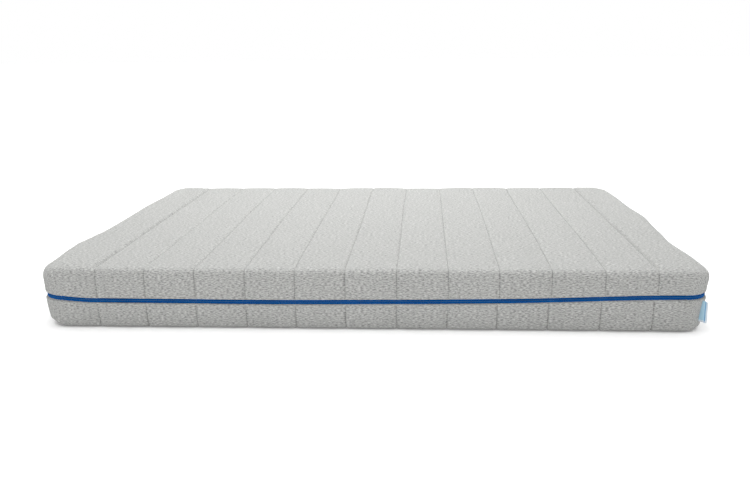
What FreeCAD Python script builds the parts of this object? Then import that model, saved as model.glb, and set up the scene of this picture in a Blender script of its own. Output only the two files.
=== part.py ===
import FreeCAD, Part

import math
import os

# Memory foam mattress with a quilted cover that unzips all round into an upper and a lower half.
# Frame, in millimetres: X runs along the long side, Y across the mattress and Z up. The origin is the
# centre of the underside. An "inset" is a distance inwards from the cover's outermost side walls.

# Driving dimensions
LENGTH = 2000.0
WIDTH = 1400.0
HEIGHT = 190.0
CORNER_ROUND = 70.0          # radius of the upright corners, seen from above
TOP_ROUND = 38.0             # radius along the edge of the lying face
BOTTOM_ROUND = 25.0          # radius along the edge of the underside
RIM_ROUND = 8.0              # radius where the cover turns in towards the zip

# Zip
ZIP_Z = 92.0                 # height of the line where the two rows of teeth meet
ZIP_BAND = 12.0              # width of zip that shows between the two cover rims
TAPE_THICK = 1.0
TAPE_WIDTH = 13.5
TAPE_EDGE = 1.5              # from the meeting line to each tape's edge
COIL_THICK = 2.0
COIL_WIDTH = 3.4
COIL_GAP = 0.1               # from the meeting line to each coil
ZIP_END_X = 840.5            # the last tooth on the back side, beside the parked slider
ZIP_START_X = 880.0          # the first tooth, past the pin and box
TAPE_SLIT = (858.0, 862.0)   # where the two ends of each tape meet

# Cover layers
FABRIC_THICK = 1.2
BACKING_THICK = 0.6
COVER_THICK = 11.0
THREAD_DEPTH = 0.6
THREAD_WIDTH = 1.2
BOBBIN_DEPTH = 0.3
CORNER_THREAD_WIDTH = 1.6
ZIP_SEAM_UP = 5.0            # from a cover's rim to the stitch line that holds its zip tape
SEAM_START = 11.0            # from a cover's rim to where the quilting and corner seams begin
CORNER_SEAM_END = 0.8        # how far up the rounded edge a corner seam runs, as part of the radius

# Quilting: straight stitch lines across the mattress
SEAM_COUNT = 12
SEAM_PITCH = 151.0
SEAM_SHIFT = 12.0            # the pattern sits this far towards +X

# Foam core
CORE_INSET = 13.5
CORE_GAP = 0.3               # between the core and the cover above and below it
MEMORY_THICK = 50.0
TRANSITION_THICK = 30.0
GLUE_THICK = 0.4
MEMORY_EDGE_ROUND = 26.0
SUPPORT_EDGE_ROUND = 13.0
SLIT_WIDTH = 4.0
SLIT_DEPTH = 32.0
# Comfort zones along half the length: how far each reaches from the middle, and its slit pitch
ZONES = ((130.0, 86.0), (330.0, 50.0), (620.0, 36.0), (900.0, 70.0))

# Slider and pull, on the back side. "Out" is the slider's own side of the tape.
SLIDER_X = (832.0, 850.0)
SLIDER_WIDTH = 10.8
OUTER_PLATE = (5.0, 7.0)     # insets of the two plates
INNER_PLATE = (10.8, 12.4)
SLIDER_CORNER = 3.0
WEDGE_X = (842.0, 845.0, 849.0)
WEDGE_HALF = 0.9
FLANGE_Z = (86.6, 87.8)
FLANGE_INSET = 8.9
BRIDGE_X = (836.0, 846.0)
BRIDGE_WIDTH = 4.0
BRIDGE_INSET = 0.6
BRIDGE_ROUND = 1.8
PIVOT_X = 841.0
PIVOT_INSET = 2.8
PIVOT_HOLE_R = 1.25
PIVOT_PIN_R = 1.0
PULL_WIDTH = 8.0
PULL_THICK = 1.6
PULL_REACH = 33.0            # from the pivot to the pull's tip
PULL_NECK = 8.0              # from the pivot to where the two arms meet
PULL_ARM = 1.2
PULL_HOLE_R = 1.6
PULL_TIP_ROUND = 3.5
ARM_LAP = 1.0                # how far each arm runs into the blade

# Zip end pieces
STOP_X = (841.0, 845.0)
STOP_INSET = (7.6, 10.5)
STOP_WIDTH = 2.2
STOP_WRAP = 0.35             # how far the stop reaches round the tape's edge
PIN_X = (864.0, 879.0)
PIN_INSET = (7.6, 10.8)
PIN_Z = (92.5, 95.5)
BOX_X = (862.0, 876.0)
BOX_INSET = (6.8, 11.6)
BOX_Z = (86.3, 93.2)
BOX_SLOT_GAP = 0.3
BOX_CORNER = 0.8

# Folded label sewn into the lower cover's corner seam at +X, -Y
LABEL_Z = (28.0, 83.0)
LABEL_OUT = 28.0
LABEL_SEWN = 4.0
LABEL_LAYER = 0.5
LABEL_GAP = 0.4

# Worked out from the above
UPPER_RIM = ZIP_Z + ZIP_BAND / 2
LOWER_RIM = ZIP_Z - ZIP_BAND / 2
BACKING_INSET = COVER_THICK - BACKING_THICK
TAPE_OUT = BACKING_INSET - TAPE_THICK      # inset of the tape's outer face
COIL_OUT = TAPE_OUT - COIL_THICK
BACK_Y = WIDTH / 2
SPAN = 3000.0                              # longer than anything here
CUT_PAST = 2.0                             # how far a cutting form runs on past what it cuts
SAME = 1e-6                                # two lengths or heights closer than this are equal

V = FreeCAD.Vector


def box(x, y, z):
    """A block from three (low, high) pairs."""
    size = [high - low for low, high in (x, y, z)]
    return Part.makeBox(*size, V(x[0], y[0], z[0]))


def edges_at(shape, height):
    """The edges that lie wholly at one height."""
    return [e for e in shape.Edges
            if abs(e.BoundBox.ZMin - height) < SAME and abs(e.BoundBox.ZMax - height) < SAME]


def edges_this_long(shape, length):
    """The edges of one length."""
    return [e for e in shape.Edges if abs(e.Length - length) < SAME]


def rounded_block(inset, low, high, top_round=0.0, bottom_round=0.0):
    """A block with the mattress's plan, drawn in by inset, with its top and bottom edges rounded."""
    half_x, half_y = LENGTH / 2 - inset, WIDTH / 2 - inset
    block = box((-half_x, half_x), (-half_y, half_y), (low, high))
    upright = [e for e in block.Edges if e.BoundBox.ZLength > (high - low) / 2]
    block = block.makeFillet(CORNER_ROUND - inset, upright)
    if top_round > 0:
        block = block.makeFillet(top_round, edges_at(block, high))
    if bottom_round > 0:
        block = block.makeFillet(bottom_round, edges_at(block, low))
    return block


def ring(outer_inset, inner_inset, low, high):
    """An upright band that runs all round the mattress between two insets."""
    outer = rounded_block(outer_inset, low, high)
    return outer.cut(rounded_block(inner_inset, low - CUT_PAST, high + CUT_PAST))


class Half:
    """One half of the cover: its lying face, its rim and how its blocks are drawn in."""

    def __init__(self, name, upper):
        self.name = name
        self.upper = upper
        self.face = HEIGHT if upper else 0.0
        self.rim = UPPER_RIM if upper else LOWER_RIM
        self.away = 1.0 if upper else -1.0          # from the rim towards the lying face
        self.edge_round = TOP_ROUND if upper else BOTTOM_ROUND

    def span(self, near, far):
        """(low, high) for two heights measured from the rim towards the lying face."""
        return tuple(sorted((self.rim + self.away * near, self.rim + self.away * far)))

    def block(self, inset, rim_start, rim_round=0.0):
        """The half's outer form drawn in by inset; rim_start is where it begins, measured from the rim."""
        low, high = sorted((self.rim + self.away * rim_start, self.face - self.away * inset))
        face_round = self.edge_round - inset
        if self.upper:
            return rounded_block(inset, low, high, face_round, rim_round)
        return rounded_block(inset, low, high, rim_round, face_round)

    def closed(self, inset):
        """Drawn in on every side, with the turned-in rim."""
        return self.block(inset, inset, RIM_ROUND - inset)

    def open(self, inset):
        """Runs on past the rim, so that it cuts a way through it."""
        return self.block(inset, -CUT_PAST)


def seam_positions():
    """X of each quilting line."""
    middle = (SEAM_COUNT - 1) / 2
    return [SEAM_SHIFT + (i - middle) * SEAM_PITCH for i in range(SEAM_COUNT)]


def seam_slabs(width, span):
    """Thin upright slabs, one across the mattress at each quilting line, between two heights."""
    return [box((x - width / 2, x + width / 2), (-WIDTH, WIDTH), span) for x in seam_positions()]


def corner_slabs(width, span):
    """Thin upright slabs that pass through each rounded corner on its diagonal."""
    slabs = []
    for sx, sy in ((1, 1), (-1, 1), (-1, -1), (1, -1)):
        slab = box((0, 2 * CORNER_ROUND), (-width / 2, width / 2), span)
        slab.rotate(V(0, 0, 0), V(0, 0, 1), math.degrees(math.atan2(sy, sx)))
        slab.translate(V(sx * (LENGTH / 2 - CORNER_ROUND), sy * (WIDTH / 2 - CORNER_ROUND), 0))
        slabs.append(slab)
    return slabs


def threads(half):
    """Needle threads let into the outer fabric and bobbin threads let into the backing."""
    needle_skin = half.closed(0).cut(half.closed(THREAD_DEPTH))
    bobbin_inset = COVER_THICK - BOBBIN_DEPTH
    bobbin_skin = half.open(bobbin_inset).cut(half.open(COVER_THICK))
    span = half.span(SEAM_START, HEIGHT)
    solids = []
    for slab in seam_slabs(THREAD_WIDTH, span):
        solids += needle_skin.common(slab).Solids
        solids += bobbin_skin.common(slab).Solids
    return solids


def corner_threads(half):
    """The four upright seams that close the cover's corners."""
    skin = half.closed(0).cut(half.closed(THREAD_DEPTH))
    middle = rounded_block(half.edge_round * CORNER_SEAM_END, -CUT_PAST, HEIGHT + CUT_PAST)
    solids = []
    for slab in corner_slabs(CORNER_THREAD_WIDTH, half.span(SEAM_START, HEIGHT)):
        solids += skin.common(slab).cut(middle).Solids
    return solids


def zip_seam_thread(half):
    """The stitch line on the inside of the backing that holds the zip tape."""
    low, high = half.span(ZIP_SEAM_UP - THREAD_DEPTH, ZIP_SEAM_UP + THREAD_DEPTH)
    return ring(COVER_THICK, COVER_THICK + THREAD_DEPTH, low, high)


def tape_pocket(half):
    """The space between lip, wadding and backing that the zip tape is sewn into."""
    low, high = half.span(-CUT_PAST, TAPE_WIDTH + TAPE_EDGE - ZIP_BAND / 2)
    return ring(TAPE_OUT, BACKING_INSET, low, high)


def cover_fabric(half):
    """Knitted outer fabric, turned in at the rim to meet the zip tape."""
    shell = half.closed(0).cut(half.closed(FABRIC_THICK))
    low, high = half.span(-CUT_PAST, RIM_ROUND)
    shell = shell.cut(rounded_block(TAPE_OUT, low, high))
    return shell.cut(threads(half) + corner_threads(half))


def cover_wadding(half):
    """Polyester wadding between fabric and backing."""
    fill = half.closed(FABRIC_THICK).cut(half.open(BACKING_INSET))
    return fill.cut(tape_pocket(half))


def cover_backing(half):
    """Thin non-woven backing that faces the foam."""
    sheet = half.block(BACKING_INSET, 0.0).cut(half.open(COVER_THICK))
    return sheet.cut(threads(half))


def zip_tape(half):
    """Woven tape, sewn in behind the rim, with its two ends meeting on the back side."""
    near = ZIP_Z + half.away * TAPE_EDGE
    low, high = sorted((near, near + half.away * TAPE_WIDTH))
    tape = ring(TAPE_OUT, BACKING_INSET, low, high)
    return tape.cut(box(TAPE_SLIT, (0, SPAN), (0, HEIGHT)))


def zip_coil(half):
    """One row of coil teeth along the tape's edge, from the first tooth round to the last."""
    near = ZIP_Z + half.away * COIL_GAP
    low, high = sorted((near, near + half.away * COIL_WIDTH))
    coil = ring(COIL_OUT, TAPE_OUT, low, high)
    return coil.cut(box((ZIP_END_X, ZIP_START_X), (0, SPAN), (0, HEIGHT)))


def zip_stop(half, tape):
    """Metal clip pressed over the tape's edge beside the last tooth."""
    edge = ZIP_Z + half.away * TAPE_EDGE
    low, high = sorted((edge - half.away * STOP_WRAP, edge + half.away * STOP_WIDTH))
    outer, inner = STOP_INSET
    return box(STOP_X, (BACK_Y - inner, BACK_Y - outer), (low, high)).cut(tape)


def zip_pin(tape):
    """Pin on the upper tape's first end. It stands in the open box when the zip is closed."""
    outer, inner = PIN_INSET
    return box(PIN_X, (BACK_Y - inner, BACK_Y - outer), PIN_Z).cut(tape)


def zip_box(tape):
    """Open-topped box on the lower tape's first end."""
    outer, inner = BOX_INSET
    body = box(BOX_X, (BACK_Y - inner, BACK_Y - outer), BOX_Z)
    body = body.makeFillet(BOX_CORNER, edges_this_long(body, BOX_Z[1] - BOX_Z[0]))
    pin_outer, pin_inner = PIN_INSET
    slot_y = (BACK_Y - pin_inner - BOX_SLOT_GAP, BACK_Y - pin_outer + BOX_SLOT_GAP)
    slot = box((PIN_X[0] - BOX_SLOT_GAP, SPAN), slot_y, (PIN_Z[0] - BOX_SLOT_GAP, HEIGHT))
    return body.cut(slot).cut(tape)


def plate(insets):
    """One rounded plate of the slider."""
    z = (ZIP_Z - SLIDER_WIDTH / 2, ZIP_Z + SLIDER_WIDTH / 2)
    body = box(SLIDER_X, (BACK_Y - insets[1], BACK_Y - insets[0]), z)
    return body.makeFillet(SLIDER_CORNER, edges_this_long(body, insets[1] - insets[0]))


def wedge():
    """The divider between the two mouths, which joins the plates."""
    tip, shoulder, end = WEDGE_X
    upper_side = [(tip, 0.0), (shoulder, WEDGE_HALF), (end, WEDGE_HALF)]
    lower_side = [(x, -dz) for x, dz in reversed(upper_side[1:])]
    y = BACK_Y - INNER_PLATE[0]
    points = [V(x, y, ZIP_Z + dz) for x, dz in upper_side + lower_side]
    face = Part.Face(Part.makePolygon(points + points[:1]))
    return face.extrude(V(0, INNER_PLATE[0] - OUTER_PLATE[1], 0))


def bridge():
    """The loop on the outer plate that holds the pull, with a round hole along Z."""
    z = (ZIP_Z - BRIDGE_WIDTH / 2, ZIP_Z + BRIDGE_WIDTH / 2)
    body = box(BRIDGE_X, (BACK_Y - OUTER_PLATE[0], BACK_Y - BRIDGE_INSET), z)
    crown = [e for e in edges_this_long(body, BRIDGE_WIDTH) if e.CenterOfMass.y > BACK_Y - PIVOT_INSET]
    body = body.makeFillet(BRIDGE_ROUND, crown)
    hole = Part.makeCylinder(PIVOT_HOLE_R, SPAN, V(PIVOT_X, BACK_Y - PIVOT_INSET, -SPAN / 2))
    return body.cut(hole)


def slider_body():
    """Die-cast slider: two plates, the wedge between them, the lower guide lip and the bridge."""
    lip = box((SLIDER_X[0] + SLIDER_CORNER, SLIDER_X[1] - SLIDER_CORNER),
              (BACK_Y - FLANGE_INSET, BACK_Y - OUTER_PLATE[1]), FLANGE_Z)
    body = plate(OUTER_PLATE).fuse([plate(INNER_PLATE), wedge(), lip, bridge()])
    return body.removeSplitter()


def pull_tab():
    """Pull with two arms and a round cross pin that turns in the bridge. It lies flat, pointing to -X."""
    pivot_y = BACK_Y - PIVOT_INSET
    y = (pivot_y - PULL_THICK / 2, pivot_y + PULL_THICK / 2)
    half_wide = PULL_WIDTH / 2
    tip = PIVOT_X - PULL_REACH
    blade = box((tip, PIVOT_X - PULL_NECK), y, (ZIP_Z - half_wide, ZIP_Z + half_wide))
    end_corners = [e for e in edges_this_long(blade, PULL_THICK) if e.CenterOfMass.x < tip + half_wide]
    blade = blade.makeFillet(PULL_TIP_ROUND, end_corners)
    hole = Part.makeCylinder(PULL_HOLE_R, SPAN, V(tip + half_wide, -SPAN / 2, ZIP_Z), V(0, 1, 0))
    body = blade.cut(hole)
    for side in (-1, 1):
        edge = ZIP_Z + side * half_wide
        z = tuple(sorted((edge, edge - side * PULL_ARM)))
        arm = box((PIVOT_X - PULL_NECK - ARM_LAP, PIVOT_X), y, z)
        eye = Part.makeCylinder(PIVOT_PIN_R, PULL_ARM, V(PIVOT_X, pivot_y, z[0]))
        body = body.fuse([arm, eye])
    pin = Part.makeCylinder(PIVOT_PIN_R, PULL_WIDTH, V(PIVOT_X, pivot_y, ZIP_Z - half_wide))
    return body.fuse(pin).removeSplitter()


def label_form(extra=0.0):
    """The label's outer block on the corner's diagonal, at +X, -Y."""
    thick = 2 * LABEL_LAYER + LABEL_GAP + 2 * extra
    reach = (CORNER_ROUND - LABEL_SEWN, CORNER_ROUND + LABEL_OUT)
    form = box(reach, (-thick / 2, thick / 2), (LABEL_Z[0] - extra, LABEL_Z[1] + extra))
    return on_label_diagonal(form)


def on_label_diagonal(shape):
    """Turns a shape drawn along +X onto the diagonal of the corner at +X, -Y."""
    shape.rotate(V(0, 0, 0), V(0, 0, 1), -45)
    shape.translate(V(LENGTH / 2 - CORNER_ROUND, -WIDTH / 2 + CORNER_ROUND, 0))
    return shape


def side_label():
    """Woven label folded once, with its two ends sewn into the corner seam."""
    slot = box((0, CORNER_ROUND + LABEL_OUT - 2 * LABEL_LAYER), (-LABEL_GAP / 2, LABEL_GAP / 2), (0, HEIGHT))
    return label_form().cut(on_label_diagonal(slot))


def slit_positions():
    """X of the slits in the support foam, the same to both sides of the middle."""
    positions, x = [], ZONES[0][1] / 2
    for reach, pitch in ZONES:
        while x < reach:
            positions.append(x)
            x += pitch
    return sorted([-p for p in positions] + positions)


def foam_layers():
    """The three foams and the two glue films between them, from the bottom up."""
    bottom, top = COVER_THICK + CORE_GAP, HEIGHT - COVER_THICK - CORE_GAP
    memory_z = top - MEMORY_THICK
    upper_glue_z = memory_z - GLUE_THICK
    transition_z = upper_glue_z - TRANSITION_THICK
    lower_glue_z = transition_z - GLUE_THICK
    support = rounded_block(CORE_INSET, bottom, lower_glue_z, 0.0, SUPPORT_EDGE_ROUND)
    slits = [box((x - SLIT_WIDTH / 2, x + SLIT_WIDTH / 2), (-WIDTH, WIDTH), (0, bottom + SLIT_DEPTH))
             for x in slit_positions()]
    return {
        "support_foam": support.cut(slits),
        "lower_glue_film": rounded_block(CORE_INSET, lower_glue_z, transition_z),
        "transition_foam": rounded_block(CORE_INSET, transition_z, upper_glue_z),
        "upper_glue_film": rounded_block(CORE_INSET, upper_glue_z, memory_z),
        "memory_foam": rounded_block(CORE_INSET, memory_z, top, MEMORY_EDGE_ROUND, 0.0),
    }


def cover_half(half):
    """Every piece of one half of the cover except its zip end pieces and label."""
    return {
        half.name + "_cover_fabric": cover_fabric(half),
        half.name + "_cover_wadding": cover_wadding(half),
        half.name + "_cover_backing": cover_backing(half),
        half.name + "_quilting_threads": Part.makeCompound(threads(half)),
        half.name + "_corner_seams": Part.makeCompound(corner_threads(half)),
        half.name + "_zip_seam_thread": zip_seam_thread(half),
        half.name + "_zip_tape": zip_tape(half),
        half.name + "_zip_coil": zip_coil(half),
    }


def mattress():
    """Every sub-part by name."""
    upper, lower = Half("upper", True), Half("lower", False)
    parts = {**cover_half(upper), **cover_half(lower), **foam_layers()}
    parts["upper_zip_stop"] = zip_stop(upper, parts["upper_zip_tape"])
    parts["lower_zip_stop"] = zip_stop(lower, parts["lower_zip_tape"])
    parts["zip_pin"] = zip_pin(parts["upper_zip_tape"])
    parts["zip_box"] = zip_box(parts["lower_zip_tape"])
    parts["zip_slider_body"] = slider_body()
    parts["zip_pull_tab"] = pull_tab()
    parts["side_label"] = side_label()
    sewn = label_form()
    for name in ("lower_cover_fabric", "lower_cover_wadding", "lower_corner_seams"):
        cut = parts[name].cut(sewn)
        parts[name] = Part.makeCompound(cut.Solids) if len(cut.Solids) > 1 else cut
    return parts


def main():
    os.makedirs("parts", exist_ok=True)
    for name, shape in sorted(mattress().items()):
        shape.exportStep(os.path.join("parts", name + ".step"))
        print(name, len(shape.Solids), "solids", round(shape.Volume / 1000, 2), "cm3", shape.isValid())


main()
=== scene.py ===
"""The looks of a memory foam mattress: a quilted knit cover in two halves, its zip, its label and its foams.

Everything is in metres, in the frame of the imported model: X along the long side, Y across, Z up. An "inset"
is a distance inwards from the cover's outermost side walls. The front is at -Y and the zip's slider at +Y.
"""

import math

import bpy
import numpy as np
from mathutils import Matrix, Vector


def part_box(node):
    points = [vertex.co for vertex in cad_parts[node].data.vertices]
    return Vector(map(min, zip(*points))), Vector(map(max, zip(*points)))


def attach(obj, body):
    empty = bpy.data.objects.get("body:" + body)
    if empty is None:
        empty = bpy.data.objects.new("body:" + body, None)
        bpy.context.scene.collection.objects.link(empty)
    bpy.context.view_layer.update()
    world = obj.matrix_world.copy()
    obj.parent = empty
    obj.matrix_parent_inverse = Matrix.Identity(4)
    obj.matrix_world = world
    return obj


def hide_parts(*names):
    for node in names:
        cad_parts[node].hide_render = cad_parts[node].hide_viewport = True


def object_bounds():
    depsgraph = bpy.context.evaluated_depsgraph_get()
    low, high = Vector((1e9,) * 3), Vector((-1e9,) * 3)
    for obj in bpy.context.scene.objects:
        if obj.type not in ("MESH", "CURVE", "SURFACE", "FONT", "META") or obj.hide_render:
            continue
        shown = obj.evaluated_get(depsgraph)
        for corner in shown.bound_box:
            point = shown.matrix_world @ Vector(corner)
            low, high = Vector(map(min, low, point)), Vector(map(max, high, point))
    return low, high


MM = 0.001

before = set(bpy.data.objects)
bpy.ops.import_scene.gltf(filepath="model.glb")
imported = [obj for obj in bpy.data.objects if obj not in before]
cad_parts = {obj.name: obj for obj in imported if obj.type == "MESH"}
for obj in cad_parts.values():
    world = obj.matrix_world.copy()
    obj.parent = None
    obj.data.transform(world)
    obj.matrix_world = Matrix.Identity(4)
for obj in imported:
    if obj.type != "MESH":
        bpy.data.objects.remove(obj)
cad_low, cad_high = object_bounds()

# ---------------- sizes that the frame gives
HALF_X, HALF_Y, TOP = cad_high.x, cad_high.y, cad_high.z
UPPER_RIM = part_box("upper_cover_fabric")[0].z
LOWER_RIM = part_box("lower_cover_fabric")[1].z
ZIP_Z = (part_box("lower_zip_coil")[1].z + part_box("upper_zip_coil")[0].z) / 2
RIM_FROM_ZIP = (UPPER_RIM - LOWER_RIM) / 2
TAPE_INSET = HALF_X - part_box("upper_zip_tape")[1].x
COIL_INSET = HALF_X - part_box("upper_zip_coil")[1].x
BACKING_INSET = HALF_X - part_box("upper_cover_backing")[1].x
INSIDE_INSET = HALF_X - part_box("upper_zip_seam_thread")[1].x
TAPE_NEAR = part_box("upper_zip_tape")[0].z - ZIP_Z
TAPE_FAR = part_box("upper_zip_tape")[1].z - ZIP_Z
ZIP_SEAM_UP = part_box("upper_zip_seam_thread")[0].z - ZIP_Z
SEAM_LOW, SEAM_HIGH = (corner.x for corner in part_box("upper_quilting_threads"))
TAPE_END_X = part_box("zip_box")[0].x
LAST_TOOTH_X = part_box("upper_zip_stop")[0].x
FIRST_TOOTH_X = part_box("zip_pin")[1].x

# ---------------- sizes chosen for the looks
CORNER = 70 * MM                 # radius of the upright corners in plan
SEAM_COUNT = 12
THREAD_WIDTH = 1.2 * MM
FABRIC_THICK = 1.2 * MM
BACKING_THICK = 0.6 * MM
RIM_ROUND = 8 * MM
ZIP_FRONT_OUT = 4.5 * MM         # the zip lies nearer the outside at the front than where the slider runs
SEAM_START = 2.5 * MM            # from the rim to where the quilting begins
SEAM_DEPTH = 4.8 * MM
SEAM_REACH = 2.4 * MM            # how far from a seam its groove fades
CROWN = 2.8 * MM
CROWN_REACH = 34 * MM
CORNER_SEAM_DEPTH = 1.2 * MM
ON_FACE_SHARE = 0.65             # how deep a groove is on the lying face, as a share of its depth on the side
AT_ZIP_LOSS = 0.35               # how much of it goes at the front, where the rim is pushed out
RIM_BAND, RIM_FADE = 9 * MM, 22 * MM             # what moves out with the rim: fully, and fading to nothing
CORNER_STEPS = 14
RING_COUNTS = (3, 10, 11, 6)     # steps over the flat, the rounded edge, the side and the turned-in rim
LINING_LIFT = 1.1 * MM           # how far the stitches pull the backing outwards
PADDING_OUTER, PADDING_INNER = 1.6 * MM, 9.1 * MM
TOOTH_PITCH = 2.2 * MM
CLOTH_CUT = np.array([1.000, 1.020, 1.010])      # how much longer the knit is cut than it lies, per axis
CLOTH_PRESSURE = 3.0
CLOTH_FRAMES = 20
CLOTH_CAP = 6 * MM               # the wadding is thin, so the knit can't rise more
CLOTH_CREASE = 0.4 * MM          # how creased the knit is before it settles
STITCH_LENGTH = 5.0 * MM
STITCH_PITCH = 6.0 * MM

FIRST_SEAM = SEAM_LOW + THREAD_WIDTH / 2
SEAM_PITCH = (SEAM_HIGH - SEAM_LOW - THREAD_WIDTH) / (SEAM_COUNT - 1)
INNER_X = HALF_X - CORNER
INNER_Y = HALF_Y - CORNER


# ---------------- small helpers
def smooth(t):
    """0 to 1 with level ends."""
    t = np.clip(t, 0.0, 1.0)
    return t * t * (3 - 2 * t)


def lump(position, centre, width):
    """A smooth rise to 1 at centre."""
    return np.exp(-((position - centre) / width) ** 2)


def unit(rows):
    return rows / np.linalg.norm(rows, axis=1)[:, None]


def run_lengths(points):
    """How far along a line each of its points is."""
    return np.concatenate([[0], np.cumsum(np.linalg.norm(np.diff(points, axis=0), axis=1))])


class Ripple:
    """A smooth random field of waves between two lengths, from about -1 to 1."""

    def __init__(self, seed, short, long, count=14):
        chance = np.random.default_rng(seed)
        directions = unit(chance.normal(size=(count, 3)))
        self.wave = directions * (2 * math.pi / chance.uniform(short, long, count))[:, None]
        self.phase = chance.uniform(0, 2 * math.pi, count)
        self.scale = 0.6 * math.sqrt(2 / count)

    def __call__(self, points):
        return np.sin(points @ self.wave.T + self.phase).sum(axis=1) * self.scale


def put(thing, **values):
    """Sets several properties of one Blender thing."""
    for key, value in values.items():
        setattr(thing, key, value)
    return thing


def new_object(name, vertices, faces):
    mesh = bpy.data.meshes.new(name)
    mesh.from_pydata(np.asarray(vertices, float).tolist(), [], faces)
    mesh.polygons.foreach_set("use_smooth", [True] * len(mesh.polygons))
    mesh.update()
    obj = bpy.data.objects.new(name, mesh)
    bpy.context.scene.collection.objects.link(obj)
    return obj


def ring(centre, across, up, sides=5):
    """Points round a centre, in the plane of two directions."""
    turn = np.arange(sides) * 2 * math.pi / sides
    return centre + np.outer(np.cos(turn), across) + np.outer(np.sin(turn), up)


def tube_faces(start, rings, sides=5):
    """Faces round a tube of rings of points, and one across each end."""
    end = tuple(start + side for side in range(sides))
    faces = [end[::-1]]
    for first in range(start, start + (rings - 1) * sides, sides):
        for side in range(sides):
            a, b = first + side, first + (side + 1) % sides
            faces.append((b, b + sides, a + sides, a))
    faces.append(tuple(i + (rings - 1) * sides for i in end))
    return faces


def apply_modifiers(obj):
    graph = bpy.context.evaluated_depsgraph_get()
    mesh = bpy.data.meshes.new_from_object(obj.evaluated_get(graph))
    obj.modifiers.clear()
    obj.data = mesh


def thicken(obj, thickness, offset):
    put(obj.modifiers.new("thickness", "SOLIDIFY"), thickness=thickness, offset=offset)
    apply_modifiers(obj)


def finish_piece(obj, material, slot, body, *nodes):
    """Gives a piece its material and the body that it rides on, and hides the CAD nodes it stands for. slot
    is not used.
    """
    obj.data.materials.clear()
    obj.data.materials.append(material)
    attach(obj, body)
    if nodes:
        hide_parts(*nodes)
    return obj


# ---------------- the outline's own shape
def zip_height(x, y):
    """Height of the zip's meeting line at a place on the outline. It is level on the back side, where the
    slider runs. On the front it climbs towards +X, and a little at the -X corner and in the middle."""
    front = 87 * MM + 23 * MM * smooth((x - 0.10) / 0.85) + 3 * MM * smooth((-x - 0.35) / 0.6)
    front = front + 9 * MM * smooth((-x - 0.82) / 0.17) + 4 * MM * lump(x, 0.15, 0.35)
    front = front + 0.5 * MM * np.sin(x * 9.0)
    back = smooth((y + 0.55) / 1.1)
    return front * (1 - back) + ZIP_Z * back


def zip_outward(y):
    """How much nearer the outside the zip lies than in its straight run at the back."""
    return ZIP_FRONT_OUT * (1 - smooth((y + 0.55) / 1.1))


def rim_from_zip(y):
    """How far each half's rim lies from the zip's meeting line. The zip shows a little more at the front."""
    return RIM_FROM_ZIP + 0.9 * MM * zip_outward(y) / ZIP_FRONT_OUT


def upper_bulge(x, y):
    """How far the upper half swells past the outline at its two ends."""
    left = 2 * MM + 22 * MM * lump(y, -0.40, 0.15) + 4 * MM * lump(y, 0.2, 0.15)
    left = left - 10 * MM * lump(y, 0.75, 0.3)
    right = 4 * MM + 13 * MM * lump(y, 0.10, 0.12) + 5 * MM * lump(y, -0.58, 0.12)
    right = right - 12 * MM * lump(y, -0.33, 0.12) - 17 * MM * lump(y, 0.75, 0.18)
    return left if x < 0 else right


def lower_bulge(x, y):
    """The same for the lower half, which stands a little in from the outline at both ends."""
    return (-4 * MM if x < 0 else -10 * MM) + 1.5 * MM * math.sin(y * 7.0 + x)


def lower_taper(share, facing):
    """How far the lower half has drawn in at a share of its height down from the zip. facing is the outward
    direction's x, so it is least at the +X end."""
    return (15 * MM - 3 * MM * np.maximum(-facing, 0) - 9 * MM * np.maximum(facing, 0)) * share ** 2.2


def seam_drift(number, y):
    """How far a quilting line strays from straight."""
    side = (number - (SEAM_COUNT - 1) / 2) / (SEAM_COUNT / 2)
    bow = 6 * MM * max(side, 0.0) * lump(y, -0.2, 0.5) - 4 * MM * max(-side, 0.0) * lump(y, 0.1, 0.5)
    return bow + 1.3 * MM * np.sin(y * 5.0 + number * 1.7)


def lower_shift(x):
    """The lower half's quilting lines sit a little towards -X at the +X end."""
    return -9 * MM * smooth((x + 0.1) / 0.9)


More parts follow.
